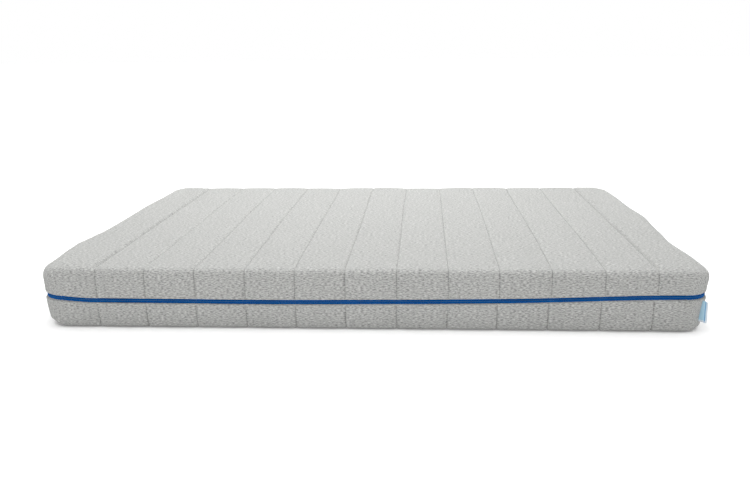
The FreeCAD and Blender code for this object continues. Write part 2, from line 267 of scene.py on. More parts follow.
# ---------------- the grid under every layer of the cover
class Grid:
    """Columns across each channel, rows across the mattress, and the stations all round its outline."""

    def __init__(self, near_seam, row_step):
        near = np.array(near_seam) * MM
        near = np.concatenate([near, [SEAM_PITCH / 2], (SEAM_PITCH - near)[:0:-1]]) / SEAM_PITCH
        first_reach = (FIRST_SEAM + INNER_X) / SEAM_PITCH
        last_reach = (INNER_X - FIRST_SEAM) / SEAM_PITCH - (SEAM_COUNT - 1)
        room = 0.06
        columns = [(0, -first_reach)]
        columns += [(0, -share) for share in near[::-1] if 0 < share < first_reach - room]
        for number in range(SEAM_COUNT - 1):
            columns += [(number, share) for share in near]
        columns.append((SEAM_COUNT - 1, 0.0))
        columns += [(SEAM_COUNT - 1, share) for share in near if 0 < share < last_reach - room]
        columns.append((SEAM_COUNT - 1, last_reach))
        self.columns = columns
        self.rows = np.linspace(-INNER_Y, INNER_Y, round(2 * INNER_Y / (row_step * MM)) + 1)
        self.seam_columns = [j for j, (number, share) in enumerate(columns) if share == 0.0]
        self.stations = self.make_stations()

    def x(self, column, y, lower):
        if column == 0:
            return -INNER_X
        if column == len(self.columns) - 1:
            return INNER_X
        number, share = self.columns[column]
        x = FIRST_SEAM + (number + share) * SEAM_PITCH
        return x + seam_drift(number + share, y) + (lower_shift(x) if lower else 0.0)

    def seam_distance(self, column):
        number, share = self.columns[column]
        if share < 0 or number == SEAM_COUNT - 1:
            return abs(share) * SEAM_PITCH
        return min(share, 1 - share) * SEAM_PITCH

    def make_stations(self):
        """(column, row, base x, base y, outward x, outward y), in order round the outline: front columns, a
        fan at the corner, end rows, a fan, back columns, a fan, end rows and a fan. Base x is None along the
        front and the back, where the column gives it."""
        columns, rows = range(len(self.columns)), range(len(self.rows))
        sides = ((-90, (INNER_X, -INNER_Y), [(j, 0, None, -INNER_Y) for j in columns]),
                 (0, (INNER_X, INNER_Y), [(columns[-1], k, INNER_X, self.rows[k]) for k in rows]),
                 (90, (-INNER_X, INNER_Y), [(j, rows[-1], None, INNER_Y) for j in reversed(columns)]),
                 (180, (-INNER_X, -INNER_Y), [(0, k, -INNER_X, self.rows[k]) for k in reversed(rows)]))
        found = []
        for facing, corner, places in sides:
            nx, ny = round(math.cos(math.radians(facing))), round(math.sin(math.radians(facing)))
            found += [(*place, nx, ny) for place in places]
            for step in range(1, CORNER_STEPS):
                angle = math.radians(facing + 90 * step / CORNER_STEPS)
                found.append((*places[-1][:2], *corner, math.cos(angle), math.sin(angle)))
        return found


CLOTH = Grid([0.0, 5.0, 12.0, 22.0, 38.0, 56.0], 9)
FINE = Grid([0.0, 0.7, 1.5, 2.6, 4.2, 6.5, 9.8, 14.5, 21.0, 30.0, 41.0, 53.0, 64.0], 11)
COARSE = Grid([0.0, 3.0, 8.0, 20.0, 45.0], 30)


def near(height, rim):
    """1 beside the rim, fading to 0 above and below it."""
    return 1 - smooth((np.abs(height - rim) - RIM_BAND) / RIM_FADE)


class Skin:
    """One layer of a cover half: a grid over the lying face that runs on down the sides and round the rim.

    depth is how far the layer lies inside the outer fabric's face, groove how deep the stitches pull it in
    (below zero, outwards) and crown how far it stands up between them."""

    def __init__(self, upper, grid, depth=0.0, groove=SEAM_DEPTH, crown=CROWN, rim_inset=TAPE_INSET,
                 settled=None):
        self.upper, self.grid, self.depth = upper, grid, depth
        self.groove, self.crown, self.rim_inset = groove, crown, rim_inset
        self.away = 1.0 if upper else -1.0
        self.face = (TOP if upper else 0.0) - self.away * depth
        self.build()
        self.points = self.base + self.direction * self.relief(settled)[:, None]
        self.faces = self.make_faces()

    def profile(self, x, y, nx, ny):
        """(outward distance, height) for each ring, and the rim's height, at one place on the outline."""
        end, corner = abs(nx), 4 * nx * nx * ny * ny
        lower_corner = 11 if nx < 0 else 4      # the lower corners are rounder at -X
        edge = (21 + 15 * end + 6 * corner if self.upper else 14 + 9 * end + lower_corner * corner) * MM
        edge = max(edge - self.depth, 3 * MM)
        reach = CORNER - self.depth
        rim = zip_height(x, y) + self.away * rim_from_zip(y)
        out = zip_outward(y)
        outer = self.depth < RIM_ROUND
        rim_round = max(RIM_ROUND - 0.6 * out - self.depth, 0.5 * MM) if outer else 0.5 * MM
        flat_steps, edge_steps, side_steps, rim_steps = RING_COUNTS
        points = [(t * (reach - edge), self.face) for t in np.arange(flat_steps) / flat_steps]
        for angle in np.arange(edge_steps) / edge_steps * math.pi / 2:
            drop = edge * (1 - math.cos(angle))
            points.append((reach - edge + edge * math.sin(angle), self.face - self.away * drop))
        start = self.face - self.away * edge
        finish = rim + self.away * (rim_round + (self.depth if outer else 0.0))
        points += [(reach, start + (finish - start) * t) for t in np.arange(side_steps) / side_steps]
        for angle in np.linspace(0, math.pi / 2, rim_steps + 1):
            drop = rim_round * math.sin(angle)
            points.append((reach - rim_round * (1 - math.cos(angle)), finish - self.away * drop))
        points.append((CORNER - self.rim_inset, points[-1][1]))
        points = np.array(points)
        if outer:
            points[-1, 0] += out
        else:
            points[:, 0] += out * near(points[:, 1], rim)
        return points, rim

    def swell(self, points, rim, x, y, nx):
        """How far each ring is pushed out between rim and face."""
        share = np.clip((points[:, 1] - rim) / (self.face - rim), 0, 1)
        end = abs(nx)
        if self.upper:
            amount = upper_bulge(x, y) * end + 2.5 * MM * (1 - end)
            push = np.sin(np.pi * 0.62 * share ** 1.5) ** 1.2 * amount
        else:
            amount = lower_bulge(x, y) * end + 1.5 * MM * (1 - end)
            push = np.sin(np.pi * 0.8 * share) ** 1.1 * amount - lower_taper(share, nx)
        return push * smooth(points[:, 0] / CORNER)

    def build(self):
        grid, lower = self.grid, not self.upper
        rows = []       # place, direction, place on the flat cloth, strength, gap, corner gap, pushed
        self.index = {}
        for k, y in enumerate(grid.rows):
            for j in range(len(grid.columns)):
                self.index[(j, k)] = len(rows)
                x = grid.x(j, y, lower)
                rows.append((x, y, self.face, 0, 0, self.away, x, y, 0, 1.0, grid.seam_distance(j), 1.0, 0.0))
        self.ring_index = []
        for column, row, base_x, base_y, nx, ny in grid.stations:
            on_column = base_x is None
            base_x = grid.x(column, base_y + ny * CORNER, lower) if on_column else base_x
            edge_x, edge_y = base_x + nx * CORNER, base_y + ny * CORNER
            points, rim = self.profile(edge_x, edge_y, nx, ny)
            points[:, 0] += self.swell(points, rim, edge_x, edge_y, nx)
            step, length = unit(np.gradient(points, axis=0)), run_lengths(points)
            from_rim = np.abs(points[:, 1] - rim)
            line = [self.index[(column, row)]]
            diagonal = abs(abs(math.degrees(math.atan2(ny, nx))) % 90 - 45)
            for p in range(1, len(points)):
                out, height = points[p]
                y = base_y + ny * out
                x = grid.x(column, y, lower) if on_column else base_x + nx * out
                line.append(len(rows))
                along_step, up_step = step[p] * self.away
                strength = smooth((from_rim[p] - 0.3 * SEAM_START) / SEAM_START)
                nearest = FIRST_SEAM if x < 0 else FIRST_SEAM + (SEAM_COUNT - 1) * SEAM_PITCH
                gap = grid.seam_distance(column) if on_column else abs(x - nearest)
                corner_gap = out * math.radians(diagonal) if nx * ny else 1.0
                pushed = near(height, rim) * zip_outward(edge_y) / ZIP_FRONT_OUT
                rows.append((x, y, height, -nx * up_step, -ny * up_step, along_step, base_x + nx * length[p],
                             base_y + ny * length[p], 0, strength, gap, corner_gap, pushed))
            self.ring_index.append(line)
        rows = np.array(rows)
        self.base, self.direction, self.cloth = rows[:, :3], rows[:, 3:6], rows[:, 6:9]
        self.strength, self.gap, self.corner_gap, self.pushed = rows[:, 9:].T

    def relief(self, settled=None):
        """The quilting's height along the surface's normal."""
        if settled is None:
            crown = self.crown * (1 - np.exp(-self.gap / CROWN_REACH))
            pucker = self.crown * 0.13 * Ripple(5, 0.018, 0.04)(self.base) * np.exp(-self.gap / (16 * MM))
        else:
            crown, pucker = settled.lift_for(self) * self.crown / CROWN, 0.0
        ripple = self.crown * 0.4 * Ripple(3 if self.upper else 4, 0.22, 0.55)(self.base)
        room = 1 - (AT_ZIP_LOSS if self.groove > 0 else 1.0) * self.pushed
        on_side = 1 - np.abs(self.direction[:, 2])
        drawn_in = room * (ON_FACE_SHARE + (1 - ON_FACE_SHARE) * smooth(on_side * 2))
        groove = self.groove * drawn_in * np.exp(-self.gap / SEAM_REACH)
        corner_seam = CORNER_SEAM_DEPTH * np.exp(-self.corner_gap / SEAM_REACH) * smooth(on_side * 2)
        puff = crown + ripple + pucker
        if not self.upper:
            puff *= 1 - smooth((1 - on_side - 0.35) / 0.5)      # pressed flat where it lies on the floor
        return (puff - groove - corner_seam * (self.groove > 0)) * self.strength

    def make_faces(self):
        faces, rings, index = [], self.ring_index, self.index
        for k in range(len(self.grid.rows) - 1):
            for j in range(len(self.grid.columns) - 1):
                faces.append((index[(j, k)], index[(j + 1, k)], index[(j + 1, k + 1)], index[(j, k + 1)]))
        for line, after in zip(rings, rings[1:] + rings[:1]):
            for p in range(len(line) - 1):
                corners = dict.fromkeys((line[p], line[p + 1], after[p + 1], after[p]))
                if len(corners) > 2:
                    faces.append(tuple(corners))
        return faces if self.upper else [face[::-1] for face in faces]

    def lift_for(self, other):
        """This skin's settled lift, read off at the points of another skin of the same half."""
        places = [np.array([number + share for number, share in skin.grid.columns]) for skin in (self, other)]
        columns, rows = len(places[0]), len(self.grid.rows)
        face = self.lift[:columns * rows].reshape(rows, columns)
        face = between(other.grid.rows, self.grid.rows, face)
        face = between(places[1], places[0], face.T).T
        lift = np.zeros(len(other.base))
        lift[:face.size] = face.ravel()
        own = np.array([self.lift[line] for line in self.ring_index])
        along_x, along_y = (places[1], places[0]), (other.grid.rows, self.grid.rows)
        start, sides = 0, []                 # the last two sides run backwards
        for (wanted, given), order in zip((along_x, along_y) * 2, (1, 1, -1, -1)):
            leg = between(wanted, given, own[start:start + len(given)][::order])[::order]
            start += len(given)
            sides += [leg, own[start:start + CORNER_STEPS - 1]]
            start += CORNER_STEPS - 1
        for line, values in zip(other.ring_index, np.concatenate(sides)):
            lift[line[1:]] = values[1:]
        return lift

    def station_line(self, chosen, first_ring=1, strong=0.95):
        """The vertices down the side at one station, as far as the quilting reaches."""
        line = self.ring_index[chosen]
        return [i for i in line[first_ring:] if self.strength[i] > strong]

    def seam_line(self, number):
        """Points and normals along one quilting line, from the front rim over the face to the back rim."""
        column = self.grid.seam_columns[number]
        front, back = [s for s, station in enumerate(self.grid.stations)
                       if station[0] == column and station[2] is None]
        across = [self.index[(column, k)] for k in range(len(self.grid.rows))]
        order = self.station_line(front)[::-1] + across + self.station_line(back)
        return self.points[order], self.direction[order]

    def corner_lines(self):
        """Points and normals down each corner's diagonal, on the side only."""
        for s, (column, row, x, y, nx, ny) in enumerate(self.grid.stations):
            if abs(abs(nx) - abs(ny)) < 1e-6:
                order = self.station_line(s, RING_COUNTS[0] + RING_COUNTS[1] - 3)
                yield self.points[order], self.direction[order]

    def sheet_object(self, name, thickness):
        obj = new_object(name, self.points, self.faces)
        keep_cloth_coordinates(obj, self.cloth)
        thicken(obj, thickness, -1)
        return obj


def between(wanted, given, values):
    """Smooth interpolation of rows of values from the given places to the wanted ones."""
    slope = np.gradient(values, given, axis=0)
    i = np.clip(np.searchsorted(given, wanted) - 1, 0, len(given) - 2)
    gap = (given[i + 1] - given[i])[:, None]
    t = np.clip((wanted - given[i])[:, None] / gap, 0, 1)
    start, finish = values[i], values[i + 1]
    a, b = slope[i] * gap, slope[i + 1] * gap
    return (start + a * t + (3 * (finish - start) - 2 * a - b) * t ** 2
            + (a + b - 2 * (finish - start)) * t ** 3)


def settle_cloth(upper):
    """Blender's cloth on one half of the cover. It is held along its seams and at its rim, is cut a little
    longer than the seams that gather it, and is pushed out. The wadding keeps it from sinking."""
    skin = Skin(upper, CLOTH)
    held = (skin.gap < 1e-6) | (skin.strength < 0.5)
    start = skin.base + skin.direction * (CLOTH_CREASE * Ripple(8, 0.035, 0.07)(skin.base) * ~held)[:, None]
    obj = new_object("cloth_trial", start, skin.faces)
    obj.shape_key_add(name="Basis")
    cut = obj.shape_key_add(name="cut")
    cut.data.foreach_set("co", (skin.base * CLOTH_CUT).ravel())
    obj.vertex_groups.new(name="held").add(np.flatnonzero(held).tolist(), 1.0, "REPLACE")
    cloth = obj.modifiers.new("cloth", "CLOTH")
    put(cloth.settings, quality=4, mass=0.2, tension_stiffness=15, compression_stiffness=8, shear_stiffness=4,
        bending_stiffness=0.05, use_pressure=True, uniform_pressure_force=CLOTH_PRESSURE,
        vertex_group_mass="held", rest_shape_key=cut)
    cloth.settings.effector_weights.gravity = 0
    cloth.collision_settings.use_collision = False
    cloth.point_cache.frame_end = CLOTH_FRAMES
    scene = bpy.context.scene
    for step in range(1, CLOTH_FRAMES + 1):
        scene.frame_set(step)
    shape = obj.evaluated_get(bpy.context.evaluated_depsgraph_get()).data
    settled = np.empty(len(skin.base) * 3)
    shape.vertices.foreach_get("co", settled)
    moved = ((settled.reshape(-1, 3) - skin.base) * skin.direction).sum(axis=1)
    held_up = 0.7 * CROWN * (1 - np.exp(-skin.gap / CROWN_REACH)) * skin.strength
    skin.lift = np.clip(moved, held_up, CLOTH_CAP)
    face = skin.lift[:len(CLOTH.rows) * len(CLOTH.columns)].reshape(len(CLOTH.rows), -1)
    face[1:-1] = (face[:-2] + 2 * face[1:-1] + face[2:]) / 4
    bpy.data.meshes.remove(obj.data)
    scene.frame_set(1)
    return skin


def keep_cloth_coordinates(obj, cloth):
    """Stores where each point lies on the flat cloth, for the knit's pattern."""
    attribute = obj.data.attributes.new("cloth", "FLOAT_VECTOR", "POINT")
    attribute.data.foreach_set("vector", cloth.astype(np.float32).ravel())


def filled_object(name, outer, inner):
    """A closed solid between two skins of the same grid."""
    count = len(outer.points)
    faces = list(outer.faces) + [tuple(i + count for i in face[::-1]) for face in inner.faces]
    rings = outer.ring_index
    for line, after in zip(rings, rings[1:] + rings[:1]):
        face = (line[-1], line[-1] + count, after[-1] + count, after[-1])
        faces.append(face if outer.upper else face[::-1])
    return new_object(name, np.concatenate([outer.points, inner.points]), faces)


# ---------------- stitches, bands and teeth
def along(points, normals, spacing):
    """Even steps along a line: centres, directions along it and normals."""
    lengths = run_lengths(points)
    places = np.arange(spacing / 2, lengths[-1], spacing)

    def read(wanted, values):
        return np.stack([np.interp(wanted, lengths, values[:, axis]) for axis in range(3)], axis=1)

    tangent = read(places + MM, points) - read(places - MM, points)
    return read(places, points), unit(tangent), unit(read(places, normals))


def beads(name, lines, length, pitch, radius, seed):
    """One small spindle of thread for each stitch along the lines."""
    chance = np.random.default_rng(seed)
    section = ((-0.5, 0.45), (-0.1, 1.0), (0.5, 0.45))
    vertices, faces = [], []
    for points, normals in lines:
        for centre, tangent, normal in zip(*along(points, normals, pitch)):
            across = np.cross(tangent, normal)
            run = (tangent + across * chance.normal(0, 0.06)) * length
            faces += [face[::-1] for face in tube_faces(len(vertices), len(section))]
            for place, size in section:
                wide = radius * size
                vertices.extend(ring(centre + run * place, across * wide, normal * (0.8 * wide)))
    return new_object(name, vertices, faces)


def outline_path(start_x, finish_x, spacing, inset):
    """Places on the outline from the back side at start_x, round by -X, the front and +X, to the back side at
    finish_x: (x, y, outward x, outward y) with x and y on the outermost outline."""
    radius = CORNER - inset
    arc = radius * math.pi / 2
    legs = [(start_x + INNER_X, (start_x, INNER_Y), (-1, 0), 90),
            (2 * INNER_Y, (-INNER_X, INNER_Y), (0, -1), 180),
            (2 * INNER_X, (-INNER_X, -INNER_Y), (1, 0), 270),
            (2 * INNER_Y, (INNER_X, -INNER_Y), (0, 1), 360),
            (INNER_X - finish_x, (INNER_X, INNER_Y), (-1, 0), 450)]
    total = sum(leg[0] for leg in legs) + 4 * arc
    steps = round(total / spacing)
    places = []
    for s in np.linspace(0, total, steps + 1):
        for length, (x, y), (dx, dy), facing in legs:
            if s <= length + arc:
                break
            s -= length + arc
        straight = min(s, length)
        angle = math.radians(facing + 90 * (s - straight) / arc)
        nx, ny = math.cos(angle), math.sin(angle)
        places.append((x + dx * straight + nx * CORNER, y + dy * straight + ny * CORNER, nx, ny))
    return np.array(places)


def band_points(path, inset, rise):
    """Points along the zip at one inset and one height from its meeting line."""
    x, y, nx, ny = path.T
    inwards = inset - zip_outward(y)
    return np.stack([x - nx * inwards, y - ny * inwards, zip_height(x, y) + rise], axis=1)


def tape_band(name, away):
    """A woven tape: a thin strip with slightly rounded long edges, following the zip."""
    spacing = 6 * MM
    path = outline_path(TAPE_END_X - 4 * MM, TAPE_END_X, spacing, TAPE_INSET)
    thick, edge = BACKING_INSET - TAPE_INSET, 0.25 * MM
    near, far = TAPE_NEAR, TAPE_FAR
    section = [(0, near + edge), (0, (near + far) / 2), (0, far - edge), (edge, far), (thick - edge, far),
               (thick, far - edge), (thick, (near + far) / 2), (thick, near + edge), (thick - edge, near),
               (edge, near)]
    rows = np.stack([band_points(path, TAPE_INSET + i, away * z) for i, z in section], axis=1)
    count, sides = rows.shape[:2]
    faces = tube_faces(0, count, sides)
    if away > 0:
        faces = [face[::-1] for face in faces]
    obj = new_object(name, rows.reshape(-1, 3), faces)
    flat = np.repeat(np.arange(count) * spacing, sides)
    height = np.tile([away * z for i, z in section], count)
    keep_cloth_coordinates(obj, np.stack([flat, height, np.zeros(len(flat))], axis=1))
    return obj


def coil_teeth(name, away):
    """One bent loop of monofilament for each tooth, its head reaching past the meeting line."""
    path = outline_path(LAST_TOOTH_X, FIRST_TOOTH_X, TOOTH_PITCH, COIL_INSET)
    offset = 0.25 if away > 0 else 0.75
    deep = TAPE_INSET - COIL_INSET
    bend = [(deep - 0.1 * MM, 3.1 * MM), (0.55 * MM, 3.2 * MM), (0.5 * MM, 0.6 * MM), (0.9 * MM, -0.45 * MM),
            (1.5 * MM, -0.2 * MM)]
    thick = [0.40 * MM, 0.46 * MM, 0.46 * MM, 0.58 * MM, 0.42 * MM]
    vertices, faces = [], []
    for here, following in zip(path[:-1], path[1:]):
        x, y, nx, ny = here + (following - here) * offset
        zip_z = zip_height(x, y)
        out = np.array([nx, ny, 0.0])
        side_way = np.array([-ny, nx, 0.0])
        faces += tube_faces(len(vertices), len(bend))
        for step, ((inset, rise), radius) in enumerate(zip(bend, thick)):
            before, after = bend[max(step - 1, 0)], bend[min(step + 1, len(bend) - 1)]
            run = np.array([before[0] - after[0], (after[1] - before[1]) * away])
            run /= np.linalg.norm(run)
            across = out * -run[1] + np.array([0, 0, 1.0]) * run[0]
            inwards = COIL_INSET + inset - zip_outward(y)
            centre = np.array([x, y, zip_z + away * rise]) - out * inwards
            vertices.extend(ring(centre, side_way * radius, across * radius))
    return new_object(name, vertices, faces)


# ---------------- foams and label
SLIT_ZONES = ((0.130, 0.086), (0.330, 0.050), (0.620, 0.036), (0.900, 0.070))
SLIT_WIDTH = 4 * MM
SLIT_DEPTH = 32 * MM


def slit_positions():
    """X of the slits in the support foam, closer together under shoulders and hips."""
    places, x = [], SLIT_ZONES[0][1] / 2
    for reach, pitch in SLIT_ZONES:
        while x < reach:
            places.append(x)
            x += pitch
    return sorted([-place for place in places] + places)


def layer_block(name, node, top_round, bottom_round, roughness, seed):
    """A cut foam layer or glue film: rings of the rounded plan, stacked from its underside to its face."""
    low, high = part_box(node)
    inset = HALF_X - high.x
    spacing, lid_ring, steps = 12 * MM, 6 * MM, 7
    path = outline_path(0.0, 0.0, spacing, inset)[:-1]
    profile = []
    for angle in np.linspace(0, math.pi / 2, steps):
        profile.append((bottom_round * (1 - math.sin(angle)), low.z + bottom_round * (1 - math.cos(angle))))
    middle = np.linspace(low.z + bottom_round, high.z - top_round, 8)[1:-1]
    profile += [(0.0, z) for z in middle]
    for angle in np.linspace(math.pi / 2, 0, steps):
        profile.append((top_round * (1 - math.sin(angle)), high.z - top_round * (1 - math.cos(angle))))
    (first, first_z), (last, last_z) = profile[0], profile[-1]
    profile = [(first + lid_ring, first_z)] + profile + [(last + lid_ring, last_z)]
    x, y, nx, ny = path.T
    levels = [(x - nx * (inset + more), y - ny * (inset + more), np.full(len(x), z)) for more, z in profile]
    points = np.concatenate([np.stack(level, axis=1) for level in levels])
    outward = np.tile(np.stack([nx, ny, np.zeros(len(nx))], axis=1), (len(profile), 1))
    wave = Ripple(seed, 0.03, 0.12)(points) * roughness
    points -= outward * np.abs(wave)[:, None]
    if node == "support_foam":           # it draws in towards the floor as the cover does
        share = np.clip((ZIP_Z - points[:, 2]) / ZIP_Z, 0, 1)
        points -= outward * lower_taper(share, outward[:, 0])[:, None]
    return new_object(name, points, tube_faces(0, len(profile), len(path)))


def cut_slits(obj, bottom):
    """Cuts the support foam's slits with a boolean, so that they are open at both long sides."""
    vertices, faces = [], []
    for x in slit_positions():
        start = len(vertices)
        vertices += [(x + side * SLIT_WIDTH / 2, y, z) for side in (-1, 1) for y in (-1.0, 1.0)
                     for z in (bottom - 0.05, bottom + SLIT_DEPTH)]
        for face in ((0, 1, 3, 2), (4, 6, 7, 5), (0, 4, 5, 1), (2, 3, 7, 6), (0, 2, 6, 4), (1, 5, 7, 3)):
            faces.append(tuple(start + i for i in face))
    cutter = new_object("slit_cutter", vertices, faces)
    put(obj.modifiers.new("slits", "BOOLEAN"), operation="DIFFERENCE", solver="EXACT", object=cutter)
    apply_modifiers(obj)
    bpy.data.objects.remove(cutter)
    obj.data.set_sharp_from_angle(angle=math.radians(40))


LABEL_REACH = 15 * MM
LABEL_SEWN = 11 * MM
LABEL_LOW, LABEL_HIGH = 32 * MM, 97 * MM
LABEL_HALF_GAP = 0.7 * MM
LABEL_THICK = 0.4 * MM


def label_ribbon():
    """A woven ribbon folded once, sewn into the corner seam by its two ends and standing out from it."""
    outward, sideways = np.array([1, -1, 0]) / math.sqrt(2), np.array([1, 1, 0]) / math.sqrt(2)
    root = np.array([INNER_X, -INNER_Y, 0.0]) + outward * CORNER
    reach = np.linspace(-LABEL_SEWN, LABEL_REACH, 15)
    turn = np.radians(np.linspace(90, -90, 7)[1:-1])
    run = [(r, LABEL_HALF_GAP) for r in reach]
    run += [(LABEL_REACH + LABEL_HALF_GAP * math.cos(t), LABEL_HALF_GAP * math.sin(t)) for t in turn]
    run += [(r, -LABEL_HALF_GAP) for r in reach[::-1]]
    lengths = run_lengths(run)
    heights = np.linspace(LABEL_LOW, LABEL_HIGH, 25)
    vertices, cloth = [], []
    for z in heights:
        share = (z - LABEL_LOW) / (LABEL_HIGH - LABEL_LOW)
        for (r, w), length in zip(run, lengths):
            free = max(r, 0.0) / LABEL_REACH
            curl = 4.5 * MM * free ** 2 * math.sin(2.6 * share + 0.4) + 1.2 * MM * free * math.sin(9 * share)
            droop = -2.0 * MM * free ** 2 + 0.8 * MM * free * math.sin(5 * share)
            vertices.append(root + outward * r + sideways * (w + curl) + np.array([0, 0, z + droop]))
            cloth.append((length, z, 0.0))
    count = len(run)
    faces = [(k * count + i, k * count + i + 1, (k + 1) * count + i + 1, (k + 1) * count + i)
             for k in range(len(heights) - 1) for i in range(count - 1)]
    obj = new_object("label", vertices, faces)
    keep_cloth_coordinates(obj, np.array(cloth))
    thicken(obj, LABEL_THICK, 0)
    return obj, (LABEL_HIGH - LABEL_LOW, float(lengths[-1]))


# ---------------- materials
class Nodes:
    """The nodes of a material or of the world, added and linked by hand."""

    def __init__(self, owner):
        owner.use_nodes = True
        self.tree = owner.node_tree

    def node(self, kind, inputs=(), **settings):
        made = put(self.tree.nodes.new("ShaderNode" + kind), **settings)
        for key, value in dict(inputs).items():
            if isinstance(value, bpy.types.NodeSocket):
                self.tree.links.new(value, made.inputs[key])
            else:
                made.inputs[key].default_value = value
        return made

    def math(self, operation, a, b=0.0, c=0.0):
        return self.node("Math", {0: a, 1: b, 2: c}, operation=operation).outputs[0]

    def times(self, a, b):
        return self.math("MULTIPLY", a, b)

    def plus(self, a, b):
        return self.math("ADD", a, b)

    def weigh(self, a, share, b, other_share):
        return self.math("MULTIPLY_ADD", a, share, self.times(b, other_share))

    def vector(self, operation, a, b):
        return self.node("VectorMath", {0: a, 1: b}, operation=operation).outputs[0]

    def noise(self, vector, scale=1.0, detail=2.0, rough=0.5, distortion=0.0, output=0):
        inputs = {"Vector": vector, "Scale": scale, "Detail": detail, "Roughness": rough,
                  "Distortion": distortion}
        return self.node("TexNoise", inputs).outputs[output]

    def stretch(self, value, low, high, to_low=0.0, to_high=1.0):
        inputs = {"Value": value, "From Min": low, "From Max": high, "To Min": to_low, "To Max": to_high}
        return self.node("MapRange", inputs).outputs["Result"]

    def mix(self, share, low, high):
        low, high = [colour if isinstance(colour, bpy.types.NodeSocket) else (*colour, 1.0)
                     for colour in (low, high)]
        return self.node("Mix", {0: share, 6: low, 7: high}, data_type="RGBA").outputs[2]

    def flat_parts(self, place):
        return self.node("SeparateXYZ", {0: place}).outputs[:2]

    def cloth(self):
        return self.node("Attribute", attribute_name="cloth", attribute_type="GEOMETRY").outputs["Vector"]

    def object_place(self):
        return self.node("TexCoord").outputs["Object"]


class Material(Nodes):
    """A new material with its shader. The shader's plain values are given by their names."""

    def __init__(self, name, **sockets):
        self.made = bpy.data.materials.new(name)
        super().__init__(self.made)
        self.shader = self.tree.nodes["Principled BSDF"]
        for socket, value in sockets.items():
            self.shader.inputs[socket.replace("_", " ")].default_value = value

    def colour(self, share, low, high):
        self.tree.links.new(self.mix(share, low, high), self.shader.inputs["Base Color"])

    def rough(self, socket):
        self.tree.links.new(socket, self.shader.inputs["Roughness"])

    def bump(self, height, distance, strength=1.0):
        made = self.node("Bump", {"Height": height, "Distance": distance, "Strength": strength})
        self.tree.links.new(made.outputs[0], self.shader.inputs["Normal"])


def knit_material():
    """Melange jersey: light and dark fibres drawn out along the rows, over small V-shaped loops with painted
    shade between their wales.
    """
    m = Material("melange_knit", Roughness=0.92, Sheen_Weight=0.2, Sheen_Roughness=0.5,
                 Specular_IOR_Level=0.15)
    place = m.cloth()
    sway = m.noise(place, scale=70.0, output="Color")
    sway = m.vector("MULTIPLY", m.vector("SUBTRACT", sway, (0.5, 0.5, 0.5)), (0.008, 0.006, 0.0))
    swayed = m.vector("ADD", place, sway)
    long_fleck = m.noise(m.vector("MULTIPLY", swayed, (112, 390, 1)), detail=1.2)
    short_fleck = m.noise(m.vector("MULTIPLY", place, (520, 900, 1)), rough=0.7)
    cloudy = m.noise(place, scale=9.0, detail=3.0)
    long_fleck = m.stretch(long_fleck, 0.35, 0.65)
    short_fleck = m.stretch(short_fleck, 0.32, 0.68)
    share = m.weigh(long_fleck, 0.72, short_fleck, 0.28)
    share = m.plus(share, m.times(m.math("SUBTRACT", cloudy, 0.5), 0.10))
    wale, course = 1.7 * MM, 1.25 * MM
    x, y = m.flat_parts(place)
    across, up = m.math("DIVIDE", x, wale), m.math("DIVIDE", y, course)
    valley = m.math("ABSOLUTE", m.math("SINE", m.times(across, math.pi)))
    chevron = m.plus(up, m.times(valley, 0.45))
    loop = m.math("SINE", m.times(chevron, 2 * math.pi))
    loops = m.weigh(loop, 0.25, valley, 0.6)
    # painted shade: the loops darken the colour between the wales and lighten it on their crests, besides
    # being relief
    share = m.plus(share, m.times(m.math("SUBTRACT", loops, 0.38), 0.22))
    m.colour(share, (0.189, 0.191, 0.186), (0.569, 0.572, 0.555))
    fuzz = m.times(short_fleck, 0.8)
    m.bump(m.plus(m.plus(loops, fuzz), m.times(long_fleck, 0.9)), 0.5 * MM, 0.85)
    return m.made


def lining_material():
    """Thin white non-woven with a pressed dot pattern."""
    m = Material("nonwoven_lining", Roughness=0.85, Specular_IOR_Level=0.25)
    place = m.cloth()
    fibres = m.noise(m.vector("MULTIPLY", place, (900, 350, 1)), detail=3.0, distortion=1.5)
    dots = m.node("TexVoronoi", {"Vector": place, "Scale": 420.0, "Randomness": 0.15}).outputs["Distance"]
    dots = m.stretch(dots, 0.15, 0.42)
    m.colour(m.weigh(fibres, 0.6, dots, 0.4), (0.40, 0.40, 0.385), (0.53, 0.53, 0.515))
    m.bump(m.plus(dots, fibres), 0.3 * MM, 0.7)
    return m.made


def mottled_material(name, noise, low, high, relief, grain=None, gloss=None, **sockets):
    """Noise between two colours, with the same noise or a finer grain as its relief. gloss is the range of
    roughness that goes with it."""
    m = Material(name, **sockets)
    place = m.object_place()
    tone = m.noise(place, **noise)
    m.colour(tone, low, high)
    if gloss:
        m.rough(m.stretch(tone, 0.3, 0.7, *gloss))
    m.bump(m.noise(place, scale=grain) if grain else tone, relief)
    return m.made


def thread_material():
    m = Material("polyester_thread", Roughness=0.6, Sheen_Weight=0.15)
    place = m.object_place()
    strands = m.noise(place, scale=2600.0, distortion=1.0)
    tone = m.noise(place, scale=30.0)
    m.colour(m.weigh(strands, 0.6, tone, 0.4), (0.018, 0.019, 0.019), (0.075, 0.077, 0.075))
    m.bump(strands, 0.15 * MM)
    return m.made


